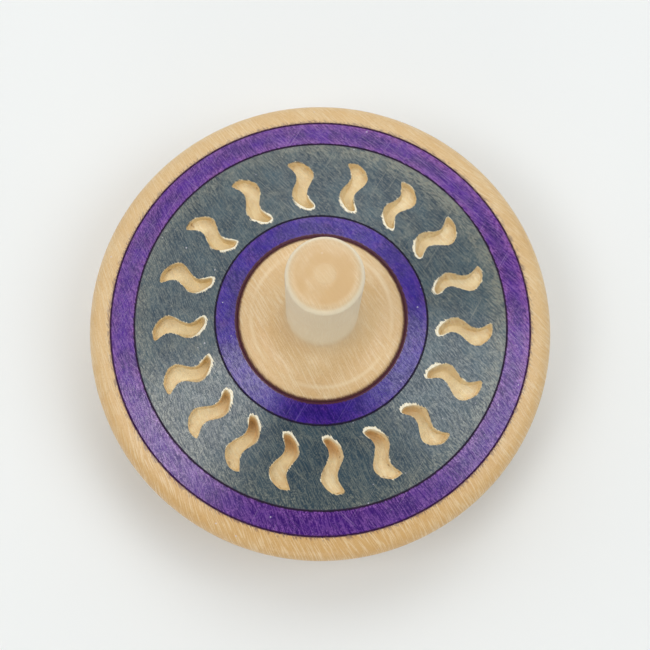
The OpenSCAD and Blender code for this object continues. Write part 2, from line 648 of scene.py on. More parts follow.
    def carve(self, web: list[bmesh.types.BMVert], lip_layer: bmesh.types.BMLayerItem) -> None:
        """Move each vertex of a flat web to its place in the cell.

        Args:
            web: The web's vertices.
            lip_layer: Layer that takes each vertex's distance from the pocket's edge.
        """
        rings = self.rings()
        for v in web:
            ring = round(math.hypot(v.co.x, v.co.y))
            step = round(math.atan2(v.co.y, v.co.x) / (2 * math.pi) * self.steps)
            v.co, v[lip_layer] = rings[ring][step % self.steps]


@dataclass
class Disc:
    """The turned flywheel: rim, dyed bands, scored lines, carved pockets, seat and bore.

    Attributes:
        sizes: Sizes of the top.
        finish: Its finish.
        row: The row of carved pockets.
        hand: The hand that carves them.
        around: Steps round the disc for each pocket.
        side: Steps along each side of a pocket's cell.
        seed: Seed of the hand's small slips.
    """

    sizes: Sizes
    finish: "DyedWood"
    row: PocketRow = field(default_factory=PocketRow)
    hand: Hand = field(default_factory=Hand)
    around: int = 16
    side: int = 32
    seed: int = 7

    def scored(self, r: float) -> list[Point2]:
        """Section of the V of a scored line at radius r, from its inner edge outwards."""
        half = self.sizes.score_w / 2
        drops = ((-half, 0.0), (-half * 0.45, 0.6), (0.0, 1.0), (half * 0.45, 0.6), (half, 0.0))
        return [(r + x, self.sizes.face_z(r + x) - drop * self.sizes.score_h) for x, drop in drops]

    def face(self, inner: float, outer: float, steps: int) -> list[Point2]:
        """Straight stretch of the upper face between two radii, without its two ends."""
        z = self.sizes.face_z
        return line((inner, z(inner)), (outer, z(outer)), steps)[1:-1]

    def outline(self) -> list[Point2]:
        """Turned outline, from the slate band's outer edge round to its inner edge."""
        s = self.sizes
        half = s.score_w / 2
        round_r = s.disc_r - s.rim_round
        low_round_z = s.low_edge[1] + s.rim_round * math.cos(math.radians(s.under_slope))
        top_round_z = s.top_edge[1] - s.rim_round * math.cos(math.radians(s.face_slope))
        radii = (s.rim_round, s.rim_round)
        bore_r = s.tenon_r + s.glue_gap
        seat_r = s.hub_r + s.glue_gap
        lip_r = seat_r + s.groove
        break_w = 0.2
        outline = self.scored(s.slate_line_r)
        outline += self.face(s.slate_line_r + half, s.rim_line_r - half, 9)
        outline += self.scored(s.rim_line_r)
        outline += self.face(s.rim_line_r + half, s.top_edge[0], 5)
        outline += arc((round_r, top_round_z), radii, 90 - s.face_slope, 0, 14)
        outline += arc((round_r, low_round_z), radii, 0, s.under_slope - 90, 14)
        outline += line(s.low_edge, (s.under_flat_r, s.under_z), 34)[1:]
        outline += line((s.under_flat_r, s.under_z), (bore_r + break_w, s.under_z), 4)[1:]
        outline += line((bore_r, s.under_z + break_w), (bore_r, s.seat_z), 6)
        outline += line((bore_r, s.seat_z), (seat_r, s.seat_z), 3)[1:]
        outline += line((seat_r, s.seat_z), (seat_r, s.hub_edge_z - s.groove), 3)[1:]
        outline += [(lip_r, s.face_z(lip_r))]
        outline += self.face(lip_r, s.inner_line_r - half, 9)
        outline += self.scored(s.inner_line_r)
        return outline

    def build(self) -> bpy.types.Object:
        """Model and dress the disc, and return its object."""
        rng = random.Random(self.seed)
        maker = MeshMaker()
        lip_layer = maker.bm.verts.layers.float.new(LIP_LAYER)
        for v in maker.add(turned("disc", self.outline(), self.row.count * self.around)):
            r = math.hypot(v.co.x, v.co.y)
            even = math.degrees(math.atan2(v.co.y, v.co.x))
            angle = math.radians(self.row.drifted(even))
            v.co.x, v.co.y = r * math.cos(angle), r * math.sin(angle)
            v[lip_layer] = FAR_FROM_POCKETS
        web = None
        for index in range(self.row.count):
            slip = Slip.draw(self.row, self.hand, 2 * (self.around + self.side), rng)
            pocket = Pocket(self.sizes, self.row, index, self.around, self.side, slip)
            web = web or pocket.web()
            pocket.carve(maker.add(web), lip_layer)
        return maker.finish("turned_disc", "disc", "dyed_maple", self.finish.material("dyed_disc"))


@dataclass
class Spindle:
    """The turned stick through the disc: nose, tenon, hub, cove and finger stem.

    Attributes:
        sizes: Sizes of the top.
        finish: Its finish.
        steps: Steps round the turn.
        ripple: Height of the skew's ripples along the stem.
        mark_h: Height of the mark on the stem's end.
    """

    sizes: Sizes
    finish: "BareWood"
    steps: int = 192
    ripple: float = 0.012
    mark_h: float = 0.09

    def stem_end(self) -> list[Point2]:
        """Outline of the stem's rounded end, up to the axis."""
        s = self.sizes
        rim_z = s.stem_top_z - s.stem_dome_h
        dome_h = s.stem_dome_h - self.mark_h
        outline = arc((s.end_r, s.straight_z), (s.stem_round, s.stem_round), 0, 90, 12)
        for r in (mix(s.end_r, s.mark_r + 0.15, i / 6) for i in range(1, 7)):
            outline.append((r, rim_z + dome_h * (1 - (r / s.end_r) ** 2)))
        edge_z = rim_z + dome_h * (1 - (s.mark_r / s.end_r) ** 2)
        outline += arc((0.0, edge_z), (s.mark_r, s.stem_top_z - edge_z), 0, 90, 8)[:-1]
        return outline + [(0.0, s.stem_top_z)]

    def outline(self) -> list[Point2]:
        """Turned outline, from the shank's hole round to the stem's end."""
        s = self.sizes
        hole_r = s.shank_r + s.shank_gap
        hole_top = s.shank_top_z + s.shank_spare
        break_w = 0.15
        outline = [(0.0, hole_top)]
        outline += line((hole_r, hole_top), (hole_r, s.nose_z), 4)
        outline += [(s.nose_end_r - break_w, s.nose_z)]
        outline += line((s.nose_end_r, s.nose_z + break_w), (s.tenon_r, s.under_z), 6)
        outline += line((s.tenon_r, s.under_z), (s.tenon_r, s.seat_z), 6)[1:]
        outline += [(s.hub_r, s.seat_z), (s.hub_r, s.hub_edge_z - s.groove)]
        shoulder = (s.shoulder_w - s.groove, s.hub_rise)
        outline += arc((s.crest_r, s.hub_edge_z), shoulder, 0, 90, 10)
        outline += arc((s.crest_r, s.cove_top_z), (s.cove_r, s.cove_r), 270, 180, 18)[1:]
        for r, z in line((s.stem_r, s.cove_top_z), (s.stem_r, s.straight_z), 40)[1:-1]:
            outline.append((r - self.ripple * (1 + math.sin(1.9 * z)), z))
        return outline + self.stem_end()

    def build(self) -> bpy.types.Object:
        """Model and dress the spindle, and return its object."""
        maker = MeshMaker()
        maker.add(turned("spindle", self.outline(), self.steps))
        material = self.finish.material("bare_spindle")
        return maker.finish("turned_spindle", "spindle", "bare_maple", material)


@dataclass
class Tip:
    """The pressed-in point that the top spins on.

    Attributes:
        sizes: Sizes of the top.
        finish: Its finish.
        steps: Steps round the turn.
        break_w: Width of its broken edges.
    """

    sizes: Sizes
    finish: "TurnedSteel"
    steps: int = 96
    break_w: float = 0.12

    def outline(self) -> list[Point2]:
        """Turned outline, from the contact point round to the shank's end."""
        s = self.sizes
        outline = [(0.0, 0.0)]
        outline += arc((0.0, s.nose_z), (s.tip_r, s.nose_z), -90, -8, 20)[1:]
        outline += [(s.tip_r, s.nose_z - self.break_w / 2), (s.tip_r - self.break_w, s.nose_z)]
        outline += line((s.shank_r, s.nose_z), (s.shank_r, s.shank_top_z - self.break_w), 6)
        return outline + [(s.shank_r - self.break_w, s.shank_top_z), (0.0, s.shank_top_z)]

    def build(self) -> bpy.types.Object:
        """Model and dress the tip, and return its object."""
        maker = MeshMaker()
        maker.add(turned("tip", self.outline(), self.steps))
        return maker.finish("steel_tip", "tip", "tip_steel", self.finish.material("bright_steel"),
                            sharp_angle=30.0)


class Blend(Enum):
    """How one colour is laid over another."""

    COVER = "MIX"
    STAIN = "MULTIPLY"


class Graph:
    """A node tree with short calls for the few nodes that the finishes are built from."""

    def __init__(self, tree: NodeTree) -> None:
        """Take a node tree."""
        self.tree = tree

    def node(self, kind: str, *given: Input, **settings: object) -> Node:
        """Add a node.

        Args:
            kind: Kind of the node.
            given: What its first inputs take, in their order.
            settings: Its properties, by name.

        Returns:
            The node.
        """
        node = self.tree.nodes.new(kind)
        for name, value in settings.items():
            setattr(node, name, value)
        for target, value in zip(node.inputs, given):
            self.feed(target, value)
        return node

    def feed(self, target: Socket, value: Input) -> None:
        """Link a socket to another socket, or give it a value of its own."""
        if isinstance(value, Socket):
            self.tree.links.new(value, target)
        else:
            target.default_value = value

    def math(self, operation: str, *values: Input) -> Socket:
        """Return the result of a Math node on one to three values."""
        return self.node("ShaderNodeMath", *values, operation=operation).outputs[0]

    def product(self, *values: Input) -> Socket:
        """Return the product of two or more values."""
        return reduce(lambda so_far, value: self.math("MULTIPLY", so_far, value), values)

    def scaled(self, value: Input, factor: Input, base: Input) -> Socket:
        """Return a value times a factor, added to a base."""
        return self.math("MULTIPLY_ADD", value, factor, base)

    def measure(self, operation: str, *vectors: Input) -> Socket:
        """Return the number that a Vector Math node finds from one or two vectors."""
        return self.node("ShaderNodeVectorMath", *vectors, operation=operation).outputs["Value"]

    def stretch(self, vector: Input, factor: Input) -> Socket:
        """Return a vector made longer by a factor."""
        node = self.node("ShaderNodeVectorMath", vector, operation="SCALE")
        self.feed(node.inputs["Scale"], factor)
        return node.outputs[0]

    def split(self, vector: Input) -> list[Socket]:
        """Return the three values of a vector."""
        return self.node("ShaderNodeSeparateXYZ", vector).outputs[:]

    def combine(self, x: Input, y: Input, z: Input) -> Socket:
        """Return the vector of three values."""
        return self.node("ShaderNodeCombineXYZ", x, y, z).outputs[0]

    def fade(self, value: Input, start: Input, end: Input,
             low: float = 0.0, high: float = 1.0) -> Socket:
        """Return low before start, high after end, and a smooth change between them."""
        return self.node("ShaderNodeMapRange", value, start, end, low, high,
                         interpolation_type="SMOOTHSTEP").outputs[0]

    def noise(self, place: Input, scale: float, detail: float = 2.0) -> Socket:
        """Return the value of a noise texture, about 0.5 on average."""
        node = self.node("ShaderNodeTexNoise", place)
        node.inputs["Scale"].default_value = scale
        node.inputs["Detail"].default_value = detail
        return node.outputs["Fac"]

    def lay(self, share: Input, under: Input, over: Input, blend: Blend = Blend.COVER) -> Socket:
        """Return one colour laid over another by a share."""
        node = self.node("ShaderNodeMix", share, data_type="RGBA", blend_type=blend.value)
        self.feed(node.inputs[6], under)
        self.feed(node.inputs[7], over)
        return node.outputs[2]

    def use(self, group: NodeTree, **given: Input) -> list[Socket]:
        """Place a node group, feed its inputs by name, and return its outputs."""
        node = self.node("ShaderNodeGroup", node_tree=group)
        for name, value in given.items():
            self.feed(node.inputs[name.capitalize()], value)
        return node.outputs[:]


class GroupGraph(Graph):
    """The inside of a shader node group with named inputs and outputs."""

    def __init__(self, name: str, inputs: str, outputs: str) -> None:
        """Make the group and its sockets.

        Args:
            name: Name of the group.
            inputs: Names of its inputs. All are numbers but Place, which is a vector.
            outputs: Names of its outputs, which are numbers.
        """
        super().__init__(bpy.data.node_groups.new(name, "ShaderNodeTree"))
        for names, way in ((inputs, "INPUT"), (outputs, "OUTPUT")):
            for socket in names.split():
                kind = "NodeSocketVector" if socket == "Place" else "NodeSocketFloat"
                self.tree.interface.new_socket(socket, in_out=way, socket_type=kind)
        self.given = self.node("NodeGroupInput").outputs[:-1]
        self.result = self.node("NodeGroupOutput").inputs

    def finish(self, **results: Input) -> NodeTree:
        """Feed the group's outputs by name, and return the group."""
        for name, value in results.items():
            self.feed(self.result[name.capitalize()], value)
        return self.tree


@dataclass(frozen=True)
class WoodFigure:
    """Maple's figure on end grain: rays that run out from the pith, crossed by growth rings.

    Attributes:
        pith: Place of the pith beside the axis, in millimetres.
        reach: Distance from the pith at which the sizes across are true.
        waver: How far the rays waver, and the pitch of that wavering per millimetre.
        ray: Size of the rays across, away from the pith and along the grain.
        ring: Size of the growth rings away from the pith, across and along the grain.
        hair: Size of single hairs across, away from the pith and along the grain.
        pore_pitch: Pores per millimetre.
        side_shade_way: Direction towards which a painted shade grows, away from the back lights.
        side_shade_reach: Where on that way the painted shade begins and is full.
    """

    pith: Point2 = (-63.0, 78.0)
    reach: float = 100.0
    waver: Point2 = (1.6, 0.11)
    ray: Point3 = (0.125, 2.3, 5.0)
    ring: Point3 = (3.4, 60.0, 60.0)
    hair: Point3 = (0.16, 0.8, 1.0)
    pore_pitch: float = 4.6
    # Painted shade, darker towards this side, away from the back lights.
    side_shade_way: Point3 = (0.05, -1.0, 0.0)
    side_shade_reach: Point2 = (0.0, 32.0)

    def group(self) -> NodeTree:
        """Build the group: rays, rings, hairs, speckle and a painted side shade, each from 0 to 1."""
        graph = GroupGraph("wood_figure", "Place", "Rays Rings Hairs Speckle Heart")
        place = graph.given[0]

        def grain(values: Sequence[Socket], sizes: Point3, detail: float) -> Socket:
            """Return noise stretched to a size along each of three values."""
            shares = (graph.math("DIVIDE", value, size) for value, size in zip(values, sizes))
            return graph.noise(graph.combine(*shares), 1.0, detail)

        off_pith = graph.node("ShaderNodeVectorMath", place, (*self.pith, 0.0), operation="SUBTRACT")
        x, y, z = graph.split(off_pith.outputs[0])
        away = graph.measure("LENGTH", graph.combine(x, y, 0.0))
        swing, pitch = self.waver
        across = graph.product(graph.math("ARCTAN2", y, x), self.reach)
        across = graph.math("ADD", across, graph.product(graph.noise(place, pitch, 1.0), swing))
        side = graph.measure("DOT_PRODUCT", place, self.side_shade_way)
        return graph.finish(
            rays=graph.fade(grain((across, away, z), self.ray, 1.0), 0.44, 0.68),
            rings=graph.fade(grain((away, across, z), self.ring, 2.0), 0.3, 0.7),
            hairs=grain((across, away, z), self.hair, 1.0),
            speckle=graph.fade(graph.noise(place, self.pore_pitch, 1.0), 0.36, 0.66),
            heart=graph.fade(side, *self.side_shade_reach))


def scratch_group() -> NodeTree:
    """Build the group of fine sanding scratches, all at one angle and in patches."""
    graph = GroupGraph("sanding_scratches", "Place Angle", "Scratch")
    place, angle = graph.given
    along = graph.node("ShaderNodeVectorRotate", place, rotation_type="Z_AXIS")
    graph.feed(along.inputs["Angle"], angle)
    narrowed = graph.node("ShaderNodeVectorMath", along.outputs[0], (0.12, 5.5, 0.12),
                          operation="MULTIPLY")
    lines = graph.fade(graph.noise(narrowed.outputs[0], 1.0, 1.0), 0.62, 0.74)
    patches = graph.fade(graph.noise(along.outputs[0], 0.16, 1.0), 0.4, 0.62)
    return graph.finish(scratch=graph.product(lines, patches))


def dust_group() -> NodeTree:
    """Build the group of tiny specks of sanding dust, scattered at random."""
    graph = GroupGraph("dust_specks", "Place Spacing Size", "Speck")
    place, spacing, size = graph.given
    cells = graph.node("ShaderNodeTexVoronoi", graph.stretch(place, graph.math("DIVIDE", 1.0, spacing)))
    cells.inputs["Scale"].default_value = 1.0
    chance, largeness, _ = graph.node("ShaderNodeSeparateColor", cells.outputs["Color"]).outputs
    reach = graph.math("DIVIDE", graph.product(size, largeness), spacing)
    near = graph.fade(graph.math("DIVIDE", cells.outputs["Distance"], reach), 1.0, 0.5)
    return graph.finish(speck=graph.product(near, graph.fade(chance, 0.55, 0.6)))


def band_group() -> NodeTree:
    """Build the group of one ring-shaped band: where it is, and how near its borders are."""
    graph = GroupGraph("dyed_band", "Radius Inner Outer Reach", "Mask Inside Outside")
    radius, inner, outer, reach = graph.given
    past_inner = graph.math("SUBTRACT", radius, inner)
    before_outer = graph.math("SUBTRACT", outer, radius)
    return graph.finish(
        mask=graph.fade(graph.math("MINIMUM", past_inner, before_outer), -0.06, 0.06),
        inside=graph.fade(past_inner, reach, 0.0),
        outside=graph.fade(before_outer, reach, 0.0))


@dataclass
class Shared:
    """The node groups that more than one finish or band uses, built once."""

    figure: NodeTree = field(default_factory=lambda: WoodFigure().group())
    scratches: NodeTree = field(default_factory=scratch_group)
    dust: NodeTree = field(default_factory=dust_group)
    band: NodeTree = field(default_factory=band_group)


@dataclass(frozen=True)
class Gloss:
    """How a surface shines, the same all over it.

    Attributes:
        coat: Weight of the wax or oil coat.
        coat_roughness: Roughness of that coat.
        specular: Level of the reflection under it.
        coat_ior: Refraction of the coat.
    """

    coat: float
    coat_roughness: float
    specular: float = 0.5
    coat_ior: float = 1.5


@dataclass(frozen=True)
class Dust:
    """Specks of sanding dust on a surface.

    Attributes:
        spacing: Distance between them, in millimetres.
        size: Size of the largest.
        share: How strongly they show.
        colour: Their colour.
    """

    spacing: float
    size: float
    share: float
    colour: Colour


@dataclass(frozen=True)
class Spot:
    """What a finish knows of the spot that it shades. Lengths are in millimetres.

    Attributes:
        place: Place on the object.
        radius: Distance from the spin axis.
        height: Height over the contact point.
    """

    place: Socket
    radius: Socket
    height: Socket


@dataclass(frozen=True)
class WoodSpot(Spot):
    """The same for wood, with the wood's figure. Its fields follow the figure group's outputs."""

    rays: Socket
    rings: Socket
    hairs: Socket
    speckle: Socket
    heart: Socket


@dataclass(frozen=True)
class DiscSpot(WoodSpot):
    """The same for the disc.

    Attributes:
        slip: Which way the fibres make a border slip, from -0.5 to 0.5.
        ragged: The radius with such slips.
        lip: Distance outwards from the edge of the nearest pocket.
        depth: Depth under the upper face.
        patch: Noise that says where the dye took less.
        scratch: 1 in a sanding scratch and 0 beside it.
        inner_end: 1 at the inner end of the pockets and 0 past it.
    """

    slip: Socket
    ragged: Socket
    lip: Socket
    depth: Socket
    patch: Socket
    scratch: Socket
    inner_end: Socket


class Finish:
    """What every finish shares: a material with a shader, and places in millimetres."""

    def start(self, name: str, gloss: Gloss) -> tuple[bpy.types.Material, Graph, Node]:
        """Make a material.

        Args:
            name: Name of the material.
            gloss: How it shines.

        Returns:
            The material, its graph and its shader.
        """
        material = bpy.data.materials.new(name)
        material.use_nodes = True
        graph = Graph(material.node_tree)
        graph.tree.nodes.clear()
        shader = graph.node("ShaderNodeBsdfPrincipled")
        graph.node("ShaderNodeOutputMaterial", shader.outputs[0])
        shader.inputs["Coat Weight"].default_value = gloss.coat
        shader.inputs["Coat Roughness"].default_value = gloss.coat_roughness
        shader.inputs["Coat IOR"].default_value = gloss.coat_ior
        shader.inputs["Specular IOR Level"].default_value = gloss.specular
        return material, graph, shader

    def spot(self, graph: Graph) -> Spot:
        """Return the spot that a graph shades."""
        place = graph.stretch(graph.node("ShaderNodeTexCoord").outputs["Object"], 1 / MM)
        x, y, z = graph.split(place)
        return Spot(place, graph.measure("LENGTH", graph.combine(x, y, 0.0)), z)

    def bump(self, graph: Graph, shader: Node, height: Input) -> None:
        """Feed a height in millimetres to the shader's normal."""
        node = graph.node("ShaderNodeBump")
        node.inputs["Distance"].default_value = MM
        graph.feed(node.inputs["Height"], height)
        graph.feed(shader.inputs["Normal"], node.outputs[0])


@dataclass(frozen=True)
class WoodFinish(Finish):
    """What both wood finishes share.

    Attributes:
        shared: The shared node groups.
        sizes: Sizes of the top.
    """

    shared: Shared
    sizes: Sizes

    def wood_spot(self, graph: Graph) -> WoodSpot:
        """Return the spot that a graph shades, with the wood's figure."""
        spot = self.spot(graph)
        figure = graph.use(self.shared.figure, place=spot.place)
        return WoodSpot(spot.place, spot.radius, spot.height, *figure)

    def dusted(self, graph: Graph, spot: WoodSpot, under: Input, dust: Dust) -> Socket:
        """Return a colour with specks of sanding dust on it."""
        speck, = graph.use(self.shared.dust, place=spot.place, spacing=dust.spacing, size=dust.size)
        return graph.lay(graph.product(speck, dust.share), under, dust.colour)


@dataclass(frozen=True)
class BareWood(WoodFinish):
    """Bare maple under a thin oil.

    Attributes:
        plain: Colour between the rays.
        ray: Colour of the rays.
        warm: Colour of the darker growth rings.
        heart: Painted shade: darker colour laid on the side away from the back lights.
        soiled: Colour where fingers have been.
        stem_sheen: Painted sheen: lighter colour laid on the stem above the cove.
        end_grain: Colour of the stem's end.
        mark: Colour of the parting mark on that end.
        crest: Painted highlight: pale colour laid along the hub's crest.
        joint: Colour of the hub's edge, where it meets the disc.
        dust: The dust on it.
        skew_pitch: Pitch of the skew's fine marks up the stem, in radians per millimetre.
    """

    plain: Colour = srgb(226, 193, 143)
    ray: Colour = srgb(240, 219, 180)
    warm: Colour = srgb(216, 176, 120)
    heart: Colour = srgb(206, 162, 100)
    soiled: Colour = srgb(205, 176, 138)
    # Painted sheen on the stem.
    stem_sheen: Colour = srgb(247, 236, 208)
    end_grain: Colour = srgb(216, 178, 124)
    mark: Colour = srgb(236, 212, 170)
    # Painted highlight on the hub's crest.
    crest: Colour = srgb(244, 224, 186)
    joint: Colour = srgb(96, 52, 50)
    dust: Dust = Dust(2.6, 0.2, 0.15, srgb(250, 244, 232))
    skew_pitch: float = 17.0

    def colour(self, graph: Graph, spot: WoodSpot) -> Socket:
        """Return the colour of bare wood with its painted side shade, before any mark on it."""
        colour = graph.lay(graph.product(spot.rings, 0.5), self.plain, self.warm)
        # Painted shade: darker towards the side away from the back lights.
        colour = graph.lay(graph.product(spot.heart, 0.75), colour, self.heart)
        colour = graph.lay(graph.product(spot.rays, 0.56), colour, self.ray)
        cloud = graph.fade(graph.noise(spot.place, 0.12), 0.35, 0.7, 0.0, 0.35)
        colour = graph.lay(cloud, colour, self.warm)
        pores = graph.fade(spot.speckle, 0.25, 0.0, 0.0, 0.16)
        return graph.lay(pores, colour, self.soiled, Blend.STAIN)

    def on_end(self, graph: Graph, spot: WoodSpot) -> Socket:
        """Return 1 on the stem's end and 0 below it."""
        s = self.sizes
        return graph.fade(spot.height, s.straight_z + 0.55 * s.stem_round,
                          s.straight_z + 0.95 * s.stem_round)

    def stem(self, graph: Graph, spot: WoodSpot, under: Input) -> Socket:
        """Return a colour with a painted sheen on the stem above the cove, and with soil, end grain and
        parting mark on it.
        """
        s = self.sizes
        end = self.on_end(graph, spot)
        # Painted sheen: the stem above the cove is lightened, less so on its end.
        stem_sheen_share = graph.fade(spot.height, s.crest_z + 1.9, s.cove_top_z + 3.4, 0.0, 0.75)
        off_end = graph.fade(end, 0.0, 1.0, 1.0, 0.25)
        colour = graph.lay(graph.product(stem_sheen_share, off_end), under, self.stem_sheen)
        inside = graph.fade(spot.radius, s.end_r + 0.7, s.end_r - 0.1)
        patchy = graph.fade(graph.noise(spot.place, 0.34, 1.0), 0.38, 0.62, 0.4, 0.9)
        colour = graph.lay(graph.product(end, inside, patchy), colour, self.end_grain)
        mark = graph.fade(spot.radius, s.mark_r + 0.25, s.mark_r - 0.15, 0.0, 0.22)
        colour = graph.lay(graph.product(mark, end), colour, self.mark)
        handled = graph.fade(spot.height, s.cove_top_z + 2.4, s.cove_top_z + 14.4, 0.0, 0.16)
        handled = graph.product(handled, graph.noise(spot.place, 0.4, 3.0))
        return graph.lay(handled, colour, self.soiled, Blend.STAIN)

    def hub(self, graph: Graph, spot: WoodSpot, under: Input) -> Socket:
        """Return a colour with a painted highlight along the hub's crest and its stained edge on it."""
        s = self.sizes
        off_crest = graph.math("ABSOLUTE", graph.math("SUBTRACT", spot.radius, s.crest_r - 0.2))
        on_hub = graph.fade(spot.height, s.crest_z + 1.4, s.crest_z + 0.4)
        # Painted highlight: a pale ring laid along the hub's crest, broken up by noise.
        wear_and_highlight = graph.fade(graph.noise(spot.place, 0.14, 1.0), 0.4, 0.62, 0.08, 0.42)
        crest = graph.product(graph.fade(off_crest, 0.5, 0.0), on_hub, wear_and_highlight)
        colour = graph.lay(crest, under, self.crest)
        ragged = graph.scaled(spot.hairs, 0.3, spot.radius)
        joint = graph.fade(ragged, s.hub_r - 0.2, s.hub_r + 0.04, 0.0, 0.94)
        low = graph.fade(spot.height, s.hub_edge_z + 0.5, s.hub_edge_z + 0.2)
        return graph.lay(graph.product(joint, low), colour, self.joint)

    def material(self, name: str) -> bpy.types.Material:
        """Build the material of the spindle."""
        material, graph, shader = self.start(name, Gloss(0.45, 0.3, 0.4))
        spot = self.wood_spot(graph)
        colour = self.stem(graph, spot, self.colour(graph, spot))
        colour = self.dusted(graph, spot, self.hub(graph, spot, colour), self.dust)
        graph.feed(shader.inputs["Base Color"], colour)
        rough = graph.fade(spot.rays, 0.0, 1.0, 0.5, 0.4)
        rough = graph.scaled(self.on_end(graph, spot), 0.1, rough)
        graph.feed(shader.inputs["Roughness"], rough)
        skew = graph.math("SINE", graph.product(spot.height, self.skew_pitch))
        height = graph.scaled(skew, 0.002, graph.product(spot.rays, 0.012))
        self.bump(graph, shader, graph.scaled(spot.speckle, 0.006, height))
        return material


@dataclass(frozen=True)
class Dye:
    """One ring-shaped band of dye in the wood.

    Attributes:
        inner: Its inner radius, in millimetres.
        outer: Its outer radius.
        deep: Colour where the dye took well.
        thin: Colour where it took less.
        border: Colour along its borders.
        reach: How far a border reaches into the band.
        inner_border: How strongly the inner border shows.
        outer_border: How strongly the outer border shows.
        ray: Colour of the rays under the dye.
        ray_share: How strongly the rays show.
        scratch: Colour in the scratches.
    """

    inner: float
    outer: float
    deep: Colour
    thin: Colour
    border: Colour
    reach: float
    inner_border: float
    outer_border: float
    ray: Colour
    ray_share: float
    scratch: Colour


@dataclass(frozen=True)
class ScoredLine:
    """One scored line, burned dark.

    Attributes:
        radius: Its radius, in millimetres.
        width: Its width.
        colour: Its colour.
        bleed: How far hairs of its colour run into the wood outside it.
    """

    radius: float
    width: float
    colour: Colour
    bleed: float = 0.0


